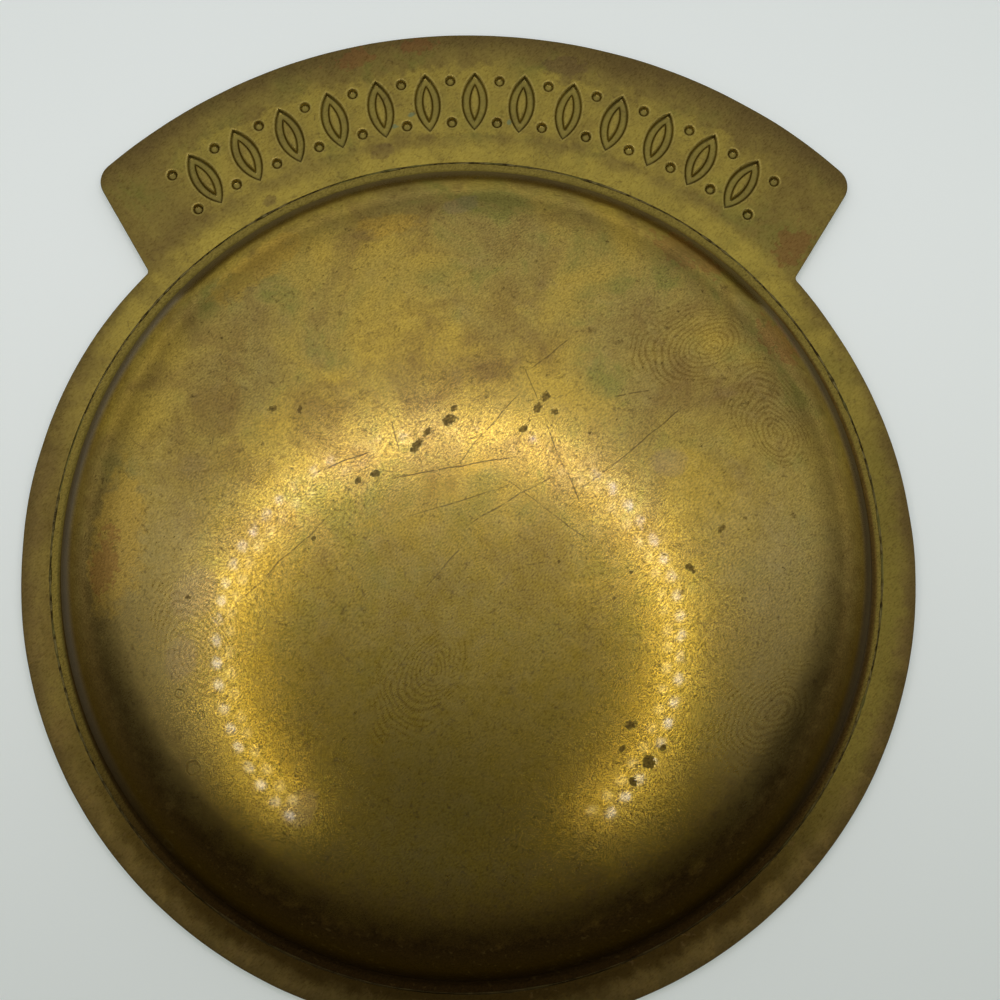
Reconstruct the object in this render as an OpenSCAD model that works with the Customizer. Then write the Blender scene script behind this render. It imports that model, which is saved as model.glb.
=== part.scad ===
// Coin tray in sheet brass, lying face down as it is stored: the bowl's dome is up.
// A flat collar carries an arched sign tab with a pressed row of leaves and beads.
// A spun bowl sits in a rebate round the collar's mouth, and a line of solder closes the seam.
// Origin: on the resting plane, under the middle of the outline. +Y points to the tab, +Z up.

/* [Collar] */
// Diameter of the round rim
rim_d = 112; // [100:1:130]
// Width of the flat rim, from the mouth to its outer edge
rim_w = 4.7; // [3.5:0.1:7]
// Thickness of the collar's sheet
collar_t = 0.9; // [0.8:0.05:1.5]

/* [Sign tab] */
// How far the tab reaches beyond the rim
tab_reach = 14.5; // [12:0.5:22]
// Angle from the middle of the tab to each outer corner
tab_tip_angle = 44.7; // [38:0.1:46]
// Angle from the middle of the tab to where each side leaves the rim
tab_root_angle = 48.3; // [47:0.1:54]
// Radius of the outer corners
tab_corner_r = 2.8; // [1:0.1:5]
// Radius of the fillets where the sides leave the rim
tab_fillet_r = 0.6; // [0.3:0.1:3]

/* [Pressed row] */
// Height of the relief on the front, and depth of the recess behind it
relief_h = 0.5; // [0.2:0.05:0.7]
// Metal left round a recess, so that the front relief is that much larger all round
relief_wall = 0.2; // [0.1:0.05:0.3]
// Number of leaves
leaf_n = 13; // [7:2:15]
// Length of a leaf, along the bowl's radius
leaf_l = 8.2; // [5:0.2:9]
// Width of a leaf at its middle
leaf_w = 3.6; // [2.4:0.1:3.8]
// From the tips of the leaves to the tab's outer edge
leaf_margin = 5.3; // [3:0.1:6]
// Angle from the last leaf to the tab's outer corner
row_end_angle = 9.6; // [8:0.1:14]
// Length of the rib that stays up inside a leaf
rib_l = 4.6; // [2:0.1:4.8]
// Width of the rib
rib_w = 1.1; // [0.8:0.1:1.3]
// Diameter of a bead
bead_d = 1.5; // [0.8:0.1:1.8]
// From the middle of the row to each line of beads
bead_out = 2.9; // [2:0.1:3.5]

/* [Bowl] */
// Depth of the bowl outside, from the collar's back to the base
bowl_depth = 12.4; // [11:0.2:16]
// Thickness of the bowl's sheet
bowl_t = 0.6; // [0.4:0.05:0.7]
// Diameter of the flat base that the tray stands on in use
base_d = 20; // [8:1:50]
// Outside radius of the shoulder, from the crown round the base to the wall
shoulder_r = 12; // [6:0.5:13]
// Slope of the wall
wall_angle = 75; // [60:1:80]
// Straight length of the wall, up its slope
wall_l = 0.6; // [0.2:0.1:2]
// Outside radius of the bend from the wall to the flange
foot_r = 0.9; // [0.5:0.1:1.6]
// Width of the flat flange beyond that bend
flange_w = 0.65; // [0.5:0.05:1.4]

/* [Solder seam] */
// Width of the seam, between the flange's edge and the rebate's wall
seam_w = 0.2; // [0.1:0.05:0.4]
// How far the solder stands proud of the back
seam_rise = 0.08; // [0.02:0.02:0.2]

/* [Hidden] */
$fn = 240;
cut = 1;

// Heights
front_z = relief_h;
back_z = front_z + collar_t;
rebate_z = back_z - bowl_t;
top_z = back_z + bowl_depth;

// Radii from the bowl's axis
rim_r = rim_d / 2;
tab_r = rim_r + tab_reach;
mouth_r = rim_r - rim_w;
flange_r = mouth_r + flange_w;
rebate_r = flange_r + seam_w;
base_r = base_d / 2;
row_r = tab_r - leaf_margin - leaf_l / 2;

// The outline's middle lies on the Y axis's origin, so the bowl's axis is this far along Y
axis_y = -tab_reach / 2;

// The tab's right side: its lean from the middle, and its distance from the bowl's axis
function polar(r, angle) = r * [sin(angle), cos(angle)];
side_run = polar(tab_r, tab_tip_angle) - polar(rim_r, tab_root_angle);
side_lean = atan2(side_run.x, side_run.y);
side_off = rim_r * sin(tab_root_angle - side_lean);

// Point at radius r whose distance outside the tab's right side is d
function beside(r, d) = polar(r, side_lean + asin((side_off + d) / r));
function mirrored(p) = [-p.x, p.y];

corner_c = beside(tab_r - tab_corner_r, -tab_corner_r);
fillet_c = beside(rim_r + tab_fillet_r, tab_fillet_r);
tip_angle = atan2(corner_c.x, corner_c.y);
root_angle = atan2(fillet_c.x, fillet_c.y);

// The bowl's section, from the flange up: bend, straight wall, shoulder, crown and flat base.
// The crown's arc touches the shoulder's, and is level where it meets the base.
foot_c = [mouth_r, back_z + foot_r];
wall_foot = foot_c - polar(foot_r, wall_angle);
wall_head = wall_foot + wall_l * [-cos(wall_angle), sin(wall_angle)];
shoulder_c = wall_head - polar(shoulder_r, wall_angle);
crown_run = shoulder_c.x - base_r;
crown_rise = top_z - shoulder_c.y;
crown_r = (crown_run * crown_run + crown_rise * crown_rise - shoulder_r * shoulder_r)
    / (2 * (crown_rise - shoulder_r));
crown_angle = asin(crown_run / (crown_r - shoulder_r));
crown_c = [base_r, top_z - crown_r];

// Points of an arc about c, from one slope to another
function arc(c, r, from, to, steps) =
    [for (i = [0:steps]) c + polar(r, from + (to - from) * i / steps)];
function backwards(points) = [for (i = [len(points) - 1:-1:0]) points[i]];

// The bowl's face, from the axis to the flange, at a depth of inset under the outside
function bowl_face(inset) = concat(
    [[0, top_z - inset]],
    arc(crown_c, crown_r - inset, 0, crown_angle, 8),
    arc(shoulder_c, shoulder_r - inset, crown_angle, wall_angle, 18),
    arc(foot_c, foot_r + inset, wall_angle - 180, -180, 8),
    [[flange_r, back_z - inset]]
);

// Outline of the collar's right half, from the middle of the tab round to the rim's far side
right_half = concat(
    arc([0, 0], tab_r, 0, tip_angle, 28),
    arc(corner_c, tab_corner_r, tip_angle, 90 + side_lean, 8),
    arc(fillet_c, tab_fillet_r, 270 + side_lean, 180 + root_angle, 5),
    arc([0, 0], rim_r, root_angle, 180, 66)
);

module collar_outline() {
    polygon(concat(
        right_half,
        [for (i = [len(right_half) - 2:-1:1]) mirrored(right_half[i])]
    ));
}

// One leaf, pointed at both ends, with its rib left out; grow makes it larger all round
module leaf(grow) {
    half_l = leaf_l / 2 + grow;
    half_w = leaf_w / 2 + grow;
    side_r = (half_l * half_l + half_w * half_w) / (2 * half_w);
    difference() {
        intersection() {
            translate([side_r - half_w, 0]) circle(side_r);
            translate([half_w - side_r, 0]) circle(side_r);
        }
        polygon([
            [0, rib_l / 2 - grow],
            [rib_w / 2 - grow, 0],
            [0, grow - rib_l / 2],
            [grow - rib_w / 2, 0]
        ]);
    }
}

// The whole row: leaves, with a pair of beads on each side of every leaf
module pressed_row(grow) {
    step = 2 * (tab_tip_angle - row_end_angle) / (leaf_n - 1);
    for (i = [0:leaf_n - 1]) {
        rotate((i - (leaf_n - 1) / 2) * step) translate([0, row_r]) leaf(grow);
    }
    for (i = [0:leaf_n]) {
        for (out = [-bead_out, bead_out]) {
            rotate((i - leaf_n / 2) * step) translate([0, row_r + out]) circle(bead_d / 2 + grow);
        }
    }
}

module sign_collar() {
    color([0.53, 0.46, 0.22]) translate([0, axis_y, 0]) difference() {
        union() {
            translate([0, 0, front_z]) linear_extrude(collar_t) collar_outline();
            linear_extrude(relief_h + collar_t / 4) pressed_row(relief_wall);
        }
        translate([0, 0, back_z - relief_h]) linear_extrude(relief_h + cut) pressed_row(0);
        translate([0, 0, -cut]) cylinder(h = top_z, r = mouth_r);
        translate([0, 0, rebate_z]) cylinder(h = top_z, r = rebate_r);
    }
}

module bowl() {
    color([0.60, 0.51, 0.24]) translate([0, axis_y, 0])
        rotate_extrude() polygon(concat(bowl_face(0), backwards(bowl_face(bowl_t))));
}

module solder_seam() {
    steps = 6;
    color([0.55, 0.52, 0.34]) translate([0, axis_y, 0]) rotate_extrude() polygon(concat(
        [[flange_r, rebate_z], [rebate_r, rebate_z]],
        [for (i = [0:steps])
            [rebate_r - seam_w * i / steps, back_z + seam_rise * sin(180 * i / steps)]]
    ));
}

sign_collar();
bowl();
solder_seam();
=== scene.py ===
"""Looks of a coin tray in aged sheet brass, lying face down on a pale table.

The collar with its pressed sign tab, the spun bowl and the line of solder between them are
modelled over the frame's three nodes, at the same sizes and in the same places.
"""

import math

import bpy
from mathutils import Euler, Matrix, Vector, noise


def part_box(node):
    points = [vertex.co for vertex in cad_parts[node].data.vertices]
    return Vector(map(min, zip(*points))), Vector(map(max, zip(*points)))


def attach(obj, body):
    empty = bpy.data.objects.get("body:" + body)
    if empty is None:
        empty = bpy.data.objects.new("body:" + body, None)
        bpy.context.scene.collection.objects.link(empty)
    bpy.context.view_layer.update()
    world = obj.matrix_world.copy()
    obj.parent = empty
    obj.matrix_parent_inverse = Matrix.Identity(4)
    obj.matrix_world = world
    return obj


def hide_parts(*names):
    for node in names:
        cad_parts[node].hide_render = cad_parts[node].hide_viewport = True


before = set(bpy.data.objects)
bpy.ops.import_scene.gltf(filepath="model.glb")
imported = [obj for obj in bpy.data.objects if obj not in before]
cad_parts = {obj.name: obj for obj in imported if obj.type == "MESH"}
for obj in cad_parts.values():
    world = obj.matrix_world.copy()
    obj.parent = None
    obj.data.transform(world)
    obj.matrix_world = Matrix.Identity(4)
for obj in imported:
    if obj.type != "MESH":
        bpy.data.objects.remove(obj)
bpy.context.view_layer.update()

MM = 0.001

# Sizes read from the frame
collar_lo, collar_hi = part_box("sign_collar")
bowl_lo, bowl_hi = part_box("bowl")
seam_lo, seam_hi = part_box("solder_seam")
AXIS = Vector((0, (bowl_lo.y + bowl_hi.y) / 2, 0))
RIM_R = AXIS.y - collar_lo.y
TAB_R = collar_hi.y - AXIS.y
BACK_Z = collar_hi.z
TOP_Z = bowl_hi.z
FLANGE_R = bowl_hi.x
REBATE_R = seam_hi.x
REBATE_Z = seam_lo.z

# The collar and its tab
FRONT_Z = 0.5 * MM
MOUTH_R = RIM_R - 4.7 * MM
TAB_TIP = math.radians(44.7)
TAB_ROOT = math.radians(48.3)
TAB_CORNER_R = 2.8 * MM
TAB_FILLET_R = 0.6 * MM
EDGE_ROUND = 0.14 * MM

# The pressed row
RELIEF_WALL = 0.2 * MM
LEAF_N = 13
LEAF_L = 8.2 * MM
LEAF_W = 3.6 * MM
RIB_L = 4.6 * MM
RIB_W = 1.1 * MM
BEAD_R = 0.75 * MM
BEAD_OUT = 2.9 * MM
ROW_R = TAB_R - 5.3 * MM - LEAF_L / 2
LEAF_STEP = 2 * (TAB_TIP - math.radians(9.6)) / (LEAF_N - 1)

# The bowl's section
BOWL_T = 0.6 * MM
BASE_R = 10 * MM
SHOULDER_R = 12 * MM
WALL_ANGLE = math.radians(75)
WALL_L = 0.6 * MM
FOOT_R = 0.9 * MM


def polar(r, angle):
    """Point at radius r, at an angle counted from +Y towards +X."""
    return Vector((r * math.sin(angle), r * math.cos(angle)))


def arc(centre, r, start, end, steps):
    """Points of an arc about centre, its angles counted as in polar."""
    return [centre + polar(r, start + (end - start) * i / steps) for i in range(steps + 1)]


def smooth(value, low, high):
    """0 below low, 1 above high, and a soft step between."""
    t = min(max((value - low) / (high - low), 0), 1)
    return t * t * (3 - 2 * t)


# Modelling helpers


def deselect():
    bpy.ops.object.select_all(action="DESELECT")


def choose(piece):
    deselect()
    piece.select_set(True)
    bpy.context.view_layer.objects.active = piece


def named(name):
    piece = bpy.context.object
    piece.name = name
    piece.data.name = name
    return piece


def merged(piece):
    """Merges vertices at the same place and turns the faces outwards."""
    choose(piece)
    bpy.ops.object.mode_set(mode="EDIT")
    bpy.ops.mesh.select_all(action="SELECT")
    bpy.ops.mesh.remove_doubles(threshold=0.002 * MM)
    bpy.ops.mesh.normals_make_consistent(inside=False)
    bpy.ops.object.mode_set(mode="OBJECT")
    deselect()


def rolled(name, rings, dirt_wear_and_painted_light):
    """A form of closed rings of points, one value a ring for dirt, wear and painted light, from a grid rolled up."""
    around = len(rings[0])
    deselect()
    bpy.ops.mesh.primitive_grid_add(x_subdivisions=around, y_subdivisions=len(rings) - 1, size=MM)
    piece = named(name)
    attribute = piece.data.attributes.new("dirt_wear_and_painted_light", "FLOAT", "POINT")
    for i, vertex in enumerate(piece.data.vertices):
        ring, place = divmod(i, around + 1)
        vertex.co = rings[ring][place % around]
        attribute.data[i].value = dirt_wear_and_painted_light[ring]
    merged(piece)
    return piece


def copied(piece, place):
    """A copy of a piece with its own mesh, moved to its place."""
    choose(piece)
    bpy.ops.object.duplicate()
    copy = bpy.context.object
    copy.matrix_world = place
    bpy.ops.object.transform_apply(location=True, rotation=True, scale=False)
    return copy


def joined(name, pieces):
    """One object from several, with vertices at the same place merged."""
    deselect()
    for piece in pieces:
        piece.select_set(True)
    bpy.context.view_layer.objects.active = pieces[0]
    bpy.ops.object.join()
    piece = named(name)
    merged(piece)
    return piece


def spun(name, section, steps):
    """A closed solid, spun about the bowl's axis from a section of (radius, height) points."""
    deselect()
    start = Vector((section[0][0], AXIS.y, section[0][1]))
    bpy.ops.mesh.primitive_plane_add(size=MM, location=start)
    piece = named(name)
    bpy.ops.object.transform_apply(location=True)
    bpy.ops.object.mode_set(mode="EDIT")
    bpy.ops.mesh.merge(type="CENTER")
    for here, there in zip(section, section[1:]):
        move = (there[0] - here[0], 0, there[1] - here[1])
        bpy.ops.mesh.extrude_region_move(TRANSFORM_OT_translate={"value": move})
    bpy.ops.mesh.select_all(action="SELECT")
    bpy.ops.mesh.spin(steps=steps, angle=math.tau, center=AXIS, axis=(0, 0, 1))
    bpy.ops.object.mode_set(mode="OBJECT")
    merged(piece)
    return piece


def fill_flat(piece, z):
    """Fills between the open edges that lie at height z, round what is pressed there."""
    choose(piece)
    uses = {}
    for face in piece.data.polygons:
        for key in face.edge_keys:
            uses[key] = uses.get(key, 0) + 1
    chosen = set()
    for face in piece.data.polygons:
        face.select = False
    for line in piece.data.edges:
        level = all(abs(piece.data.vertices[i].co.z - z) < 0.002 * MM for i in line.vertices)
        line.select = level and uses.get(line.key, 0) < 2
        if line.select:
            chosen.update(line.vertices)
    for vertex in piece.data.vertices:
        vertex.select = vertex.index in chosen
    bpy.ops.object.mode_set(mode="EDIT")
    bpy.ops.mesh.select_mode(type="EDGE")
    bpy.ops.mesh.fill(use_beauty=True)
    bpy.ops.mesh.select_mode(type="VERT")
    bpy.ops.object.mode_set(mode="OBJECT")
    deselect()


def cut_across(piece, low, high, normal, pitch):
    """Cuts a piece along parallel planes, so that its flats have points to move."""
    choose(piece)
    bpy.ops.object.mode_set(mode="EDIT")
    along = Vector(normal)
    place = low + pitch / 2
    while place < high:
        bpy.ops.mesh.select_all(action="SELECT")
        bpy.ops.mesh.bisect(plane_co=along * place, plane_no=normal, threshold=0.05 * MM)
        place += pitch
    bpy.ops.object.mode_set(mode="OBJECT")
    deselect()


def off_centre(co):
    """The bowl was set a little off the rim's centre: the shift at this place."""
    r = (co.xy - AXIS.xy).length / MM
    share = smooth(r, 20, 50) * (1 - smooth(r, 52.6, 55.6))
    return Vector((-0.3, 0.45, 0)) * MM * share


def waviness(co, size, seed):
    """Soft unevenness between -1 and 1, with hollows about size across."""
    return noise.noise(Vector((co.x / size, co.y / size, seed)))


def finished(piece, node, material):
    """Puts a piece in place of its node: its shading, finish and body."""
    choose(piece)
    bpy.ops.object.shade_smooth_by_angle(angle=math.radians(38))
    deselect()
    piece.data.materials.clear()
    piece.data.materials.append(material)
    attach(piece, "root")
    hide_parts(node)


# The collar

# Hand-trimmed outline: how far out it strays in mm, at angles in degrees from +Y towards +X
RIM_TRIM = (
    (46, -0.02), (60, -0.28), (80, -0.15), (90, -0.02), (100, 0.06), (120, 0.15), (140, 0.12),
    (160, 0.07), (180, -0.05), (200, -0.19), (220, -0.19), (240, -0.10), (260, 0.0), (270, -0.02),
    (280, 0.15), (300, 0.25), (314, 0.05),
)
TAB_TRIM = (
    (-48, -0.16), (-36, -0.12), (-28, -0.10), (-20, -0.05), (-12, -0.05), (-4, -0.08), (4, -0.10),
    (12, -0.04), (20, 0.09), (28, 0.17), (36, 0.34), (48, 0.36),
)


def trim(table, degrees):
    """Reads a trim table, with soft steps between its entries."""
    for (start, before), (end, after) in zip(table, table[1:]):
        if start <= degrees <= end:
            return before + (after - before) * smooth(degrees, start, end)
    return table[0][1] if degrees < table[0][0] else table[-1][1]


def collar_line():
    """The collar's outline: the round rim and the arched tab, with rounded corners."""
    tip = polar(TAB_R, TAB_TIP)
    root = polar(RIM_R, TAB_ROOT)
    lean = math.atan2(tip.x - root.x, tip.y - root.y)
    offset = RIM_R * math.sin(TAB_ROOT - lean)

    def beside(r, d):
        return polar(r, lean + math.asin((offset + d) / r))

    corner = beside(TAB_R - TAB_CORNER_R, -TAB_CORNER_R)
    fillet = beside(RIM_R + TAB_FILLET_R, TAB_FILLET_R)
    tip_angle = math.atan2(corner.x, corner.y)
    root_angle = math.atan2(fillet.x, fillet.y)
    centre = Vector((0, 0))
    square = math.pi / 2
    right = arc(centre, TAB_R, 0, tip_angle, 70)
    right += arc(corner, TAB_CORNER_R, tip_angle, square + lean, 12)[1:]
    right += arc(fillet, TAB_FILLET_R, 3 * square + lean, math.pi + root_angle, 6)
    right += arc(centre, RIM_R, root_angle, math.pi, 180)[1:]
    left = [Vector((-p.x, p.y)) for p in reversed(right[1:-1])]
    line = []
    for point in right + left:
        degrees = math.degrees(math.atan2(point.x, point.y))
        on_tab = smooth(point.length, RIM_R + 0.5 * MM, TAB_R - MM)
        out = on_tab * trim(TAB_TRIM, degrees) + (1 - on_tab) * trim(RIM_TRIM, degrees % 360)
        out += 0.02 * waviness(point, 3 * MM, 1.5)
        spot = point * (1 + out * MM / point.length) + AXIS.xy
        spot.x = min(max(spot.x, collar_lo.x), collar_hi.x)
        spot.y = min(max(spot.y, collar_lo.y), collar_hi.y)
        line.append(spot)
    return line


def taken_in(line, d, z):
    """A closed line at height z, taken in by d all along."""
    ring = []
    for i, point in enumerate(line):
        along = line[(i + 1) % len(line)] - line[i - 1]
        inward = Vector((along.y, -along.x)).normalized()
        spot = point + inward * d
        ring.append(Vector((spot.x, spot.y, z)))
    return ring


def edge_band(line):
    """The collar's cut edge, rounded where the shears' burr was filed off, and painted darker as it rounds over:
    painted shade under the edge.
    """
    rings = []
    quarter = [math.radians(a) for a in (0, 18, 36, 54, 72, 90)]
    for a in quarter:
        rings.append((EDGE_ROUND * (1 - math.sin(a)), BACK_Z - EDGE_ROUND * (1 - math.cos(a))))
    for a in reversed(quarter):
        rings.append((EDGE_ROUND * (1 - math.sin(a)), FRONT_Z + EDGE_ROUND * (1 - math.cos(a))))
    points = [taken_in(line, d, z) for d, z in rings]
    # Painted shade: the rings down the rounded edge are painted darker, as if the edge shaded itself
    return rolled("edge", points, [0.0, 0.1, 0.3, 0.5, 0.6, 0.7] + [0.7] * 6)


def round_ring(r, z, steps):
    spots = [AXIS.xy + polar(r, math.tau * i / steps) for i in range(steps)]
    return [Vector((p.x, p.y, z)) for p in spots]


def mouth_band():
    """The collar's mouth: the rebate for the bowl's flange, and the hole under it."""
    lip = 0.03 * MM
    section = (
        (REBATE_R + lip, BACK_Z),
        (REBATE_R, BACK_Z - lip),
        (REBATE_R, REBATE_Z),
        (MOUTH_R, REBATE_Z),
        (MOUTH_R, FRONT_Z + EDGE_ROUND),
        (MOUTH_R + EDGE_ROUND, FRONT_Z),
    )
    points = [round_ring(r, z, 300) for r, z in section]
    return rolled("mouth", points, [0.0] * len(points))


# Walls of what is pressed: how far in from the form's outline and how deep, in mm, and the grime
# there. Below 0 it is painted bright: wear, and a painted highlight on the raised edges.
PRESSED_WALL = (
    (-0.25, 0.0, 0.0),
    (-0.12, 0.005, -0.5),
    (-0.02, 0.03, -1.0),
    (0.05, 0.09, -0.9),
    (0.12, 0.19, -0.4),
    (0.19, 0.30, 0.1),
    (0.26, 0.39, 0.6),
    (0.34, 0.455, 0.8),
    (0.44, 0.49, 0.5),
    (0.58, 0.50, 0.1),
)
RIB_WALL = (
    (0.28, 0.50, 0.3),
    (0.20, 0.47, 0.5),
    (0.12, 0.40, 0.2),
    (0.04, 0.28, -0.3),
    (-0.04, 0.17, -0.8),
    (-0.12, 0.10, -0.8),
    (-0.20, 0.06, -0.3),
)


def dirt_wear_and_painted_light_of(walls, z):
    """The walls' dirt and painted highlight on the back; on the front, what was sunk stands up, so it turns round."""
    side = 1 if z == BACK_Z else -1
    return [side * g for d, h, g in walls]


def leaf_ring(length, width, grow, z):
    """Outline of a leaf, pointed at both ends, grown all round by so much."""
    half_l, half_w = length / 2, width / 2
    side_r = (half_l**2 + half_w**2) / (2 * half_w)
    centre = Vector((half_w - side_r, 0))
    reach = math.acos((side_r - half_w) / (side_r + grow))
    right = arc(centre, side_r + grow, math.pi / 2 - reach, math.pi / 2 + reach, 16)
    left = [-p for p in right[1:-1]]
    return [Vector((p.x, p.y, z)) for p in right + left]


def leaf_form(z, grow):
    """One leaf, pressed down from height z, with its rib left up."""
    rings = [leaf_ring(LEAF_L, LEAF_W, grow - d * MM, z - h * MM) for d, h, g in PRESSED_WALL]
    rings += [leaf_ring(RIB_L, RIB_W, d * MM - grow / 2, z - h * MM) for d, h, g in RIB_WALL]
    rings.append([Vector((0, p.y * 0.96, p.z)) for p in rings[-1]])
    return rolled("leaf", rings, dirt_wear_and_painted_light_of(PRESSED_WALL + RIB_WALL, z) + [0.0])


def bead_form(z, grow):
    """One bead, pressed down from height z."""
    rings = []
    for d, h, g in PRESSED_WALL:
        spots = [polar(BEAD_R + grow - d * MM, math.tau * i / 24) for i in range(24)]
        rings.append([Vector((p.x, p.y, z - h * MM)) for p in spots])
    rings.append([Vector((0, 0, p.z)) for p in rings[-1]])
    return rolled("bead", rings, dirt_wear_and_painted_light_of(PRESSED_WALL, z) + [0.0])


def pressed_row(z, grow):
    """The row of leaves and beads, on the face of the sheet at height z."""
    leaf = leaf_form(z, grow)
    bead = bead_form(z, grow)
    row = []
    for i in range(LEAF_N):
        turn = Matrix.Rotation(-(i - (LEAF_N - 1) / 2) * LEAF_STEP, 4, "Z")
        row.append(copied(leaf, Matrix.Translation(AXIS) @ turn @ Matrix.Translation((0, ROW_R, 0))))
    for i in range(LEAF_N + 1):
        turn = Matrix.Rotation(-(i - LEAF_N / 2) * LEAF_STEP, 4, "Z")
        for out in (-BEAD_OUT, BEAD_OUT):
            spot = Matrix.Translation((0, ROW_R + out, 0))
            row.append(copied(bead, Matrix.Translation(AXIS) @ turn @ spot))
    for form in (leaf, bead):
        bpy.data.objects.remove(form)
    return row


def make_collar(material):
    line = collar_line()
    forms = pressed_row(BACK_Z, 0) + pressed_row(FRONT_Z, RELIEF_WALL)
    piece = joined("collar_sheet", [edge_band(line), mouth_band()] + forms)
    fill_flat(piece, BACK_Z)
    fill_flat(piece, FRONT_Z)
    cut_across(piece, collar_lo.x, collar_hi.x, (1, 0, 0), 3.5 * MM)
    cut_across(piece, collar_lo.y, collar_hi.y, (0, 1, 0), 3.5 * MM)
    merged(piece)
    for vertex in piece.data.vertices:
        co = vertex.co
        co += off_centre(co)
        if co.z > FRONT_Z + EDGE_ROUND:
            free = smooth((co.xy - AXIS.xy).length / MM, 52.4, 54)
            wave = 0.035 * waviness(co, 9 * MM, 3.1) + 0.02 * waviness(co, 4 * MM, 7.7)
            co.z += free * wave * MM
    finished(piece, "sign_collar", material)


# The bowl


def bowl_section():
    """The bowl's outer face from the axis to the flange, then its inner face back again."""
    foot = Vector((MOUTH_R, BACK_Z + FOOT_R))
    wall_foot = foot - polar(FOOT_R, WALL_ANGLE)
    wall_head = wall_foot + WALL_L * Vector((-math.cos(WALL_ANGLE), math.sin(WALL_ANGLE)))
    shoulder = wall_head - polar(SHOULDER_R, WALL_ANGLE)
    run = shoulder.x - BASE_R
    rise = TOP_Z - shoulder.y
    crown_r = (run * run + rise * rise - SHOULDER_R * SHOULDER_R) / (2 * (rise - SHOULDER_R))
    crown_angle = math.asin(run / (crown_r - SHOULDER_R))
    crown = Vector((BASE_R, TOP_Z - crown_r))

    def face(inset):
        points = [Vector((BASE_R * i / 5, TOP_Z - inset)) for i in range(5)]
        points += arc(crown, crown_r - inset, 0, crown_angle, 16)
        points += arc(shoulder, SHOULDER_R - inset, crown_angle, WALL_ANGLE, 30)[1:]
        points += arc(foot, FOOT_R + inset, WALL_ANGLE - math.pi, -math.pi, 10)
        return points + [Vector((FLANGE_R, BACK_Z - inset))]

    return face(0) + list(reversed(face(BOWL_T)))


def make_bowl(material):
    piece = spun("bowl_shell", bowl_section(), 288)
    for vertex in piece.data.vertices:
        co = vertex.co
        free = 1 - smooth((co.xy - AXIS.xy).length / MM, 44, 50)
        dent = 0.5 + 0.5 * waviness(co, 14 * MM, 5.3)
        ripple = 0.5 + 0.5 * waviness(co, 5 * MM, 9.9)
        co.z -= free * MM * (0.05 * dent + 0.008 * ripple)
        co += off_centre(co)
    finished(piece, "bowl", material)


# The solder


def make_solder(material):
    """The solder line: a low uneven bead over the gap between the flange and the collar."""
    spread = 0.09 * MM
    middle = (FLANGE_R + REBATE_R) / 2
    half = REBATE_R - middle + spread
    section = [Vector((FLANGE_R, REBATE_Z)), Vector((REBATE_R, REBATE_Z))]
    section.append(Vector((REBATE_R, BACK_Z - 0.06 * MM)))
    for i in range(9):
        a = math.pi * i / 8
        section.append(Vector((middle + half * math.cos(a), BACK_Z + 0.075 * MM * math.sin(a))))
    section.append(Vector((FLANGE_R, BACK_Z - 0.06 * MM)))
    piece = spun("solder_line", section + [section[0]], 540)
    for vertex in piece.data.vertices:
        co = vertex.co
        flat = co.xy - AXIS.xy
        around = Vector((flat.x, flat.y, 0)).normalized()
        if co.z > BACK_Z - 0.05 * MM:
            lump = noise.noise(around * 30) + 0.6 * noise.noise(around * 75)
            sunk = smooth(noise.noise(around * 7 + Vector((3, 1, 0))), -0.05, 0.3)
            out = (flat.length - middle) * (0.75 + 0.5 * lump) * (1 - 0.3 * sunk)
            place = flat.normalized() * (middle + out) + AXIS.xy
            z = min(co.z + MM * (0.03 * lump - 0.11 * sunk), BACK_Z + 0.08 * MM)
            vertex.co = (place.x, place.y, z)
        vertex.co += off_centre(vertex.co)
    finished(piece, "solder_seam", material)


# Nodes


def put(tree, kind, inputs=None, **settings):
    """Adds a node. Its inputs are values or other nodes' outputs, by name or number."""
    made = tree.nodes.new("ShaderNode" + kind)
    for name, value in settings.items():
        setattr(made, name, value)
    for key, value in (inputs or {}).items():
        if isinstance(value, bpy.types.NodeSocket):
            tree.links.new(value, made.inputs[key])
        else:
            made.inputs[key].default_value = value
    return made


def calc(tree, operation, *values):
    return put(tree, "Math", dict(enumerate(values)), operation=operation).outputs[0]


def vcalc(tree, operation, *values):
    made = put(tree, "VectorMath", dict(enumerate(values)), operation=operation)
    single = operation in ("LENGTH", "DISTANCE", "DOT_PRODUCT")
    return made.outputs["Value" if single else "Vector"]


def scaled(tree, vector, factor):
    return put(tree, "VectorMath", {0: vector, 3: factor}, operation="SCALE").outputs["Vector"]


def clamped(tree, operation, *values):
    """A calc held between 0 and 1."""
    inputs = dict(enumerate(values))
    return put(tree, "Math", inputs, operation=operation, use_clamp=True).outputs[0]


def ramped(tree, value, low, high, bottom=0.0, top=1.0):
    """A straight ramp from bottom to top as value goes from low to high, held beyond them."""
    inputs = {"Value": value, "From Min": low, "From Max": high, "To Min": bottom, "To Max": top}
    return put(tree, "MapRange", inputs).outputs["Result"]


def step(tree, value, low, high, bottom=0.0, top=1.0):
    """A soft step: bottom where value is under low, top where it is over high."""
    inputs = {"Value": value, "From Min": low, "From Max": high, "To Min": bottom, "To Max": top}
    return put(tree, "MapRange", inputs, interpolation_type="SMOOTHSTEP").outputs["Result"]


def blend(tree, share, first, second, kind="MIX"):
    """Mixes two colours by share."""
    inputs = {0: share, 6: first, 7: second}
    return put(tree, "Mix", inputs, data_type="RGBA", blend_type=kind).outputs[2]


def cloud(tree, place, scale, detail=2.0, roughness=0.5, distortion=0.0):
    inputs = {"Vector": place, "Scale": scale, "Detail": detail}
    inputs.update({"Roughness": roughness, "Distortion": distortion})
    return put(tree, "TexNoise", inputs).outputs["Fac"]


def turned(tree, vector, angle):
    return put(tree, "VectorRotate", {"Vector": vector, "Angle": angle}, rotation_type="Z_AXIS").outputs[0]


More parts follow.
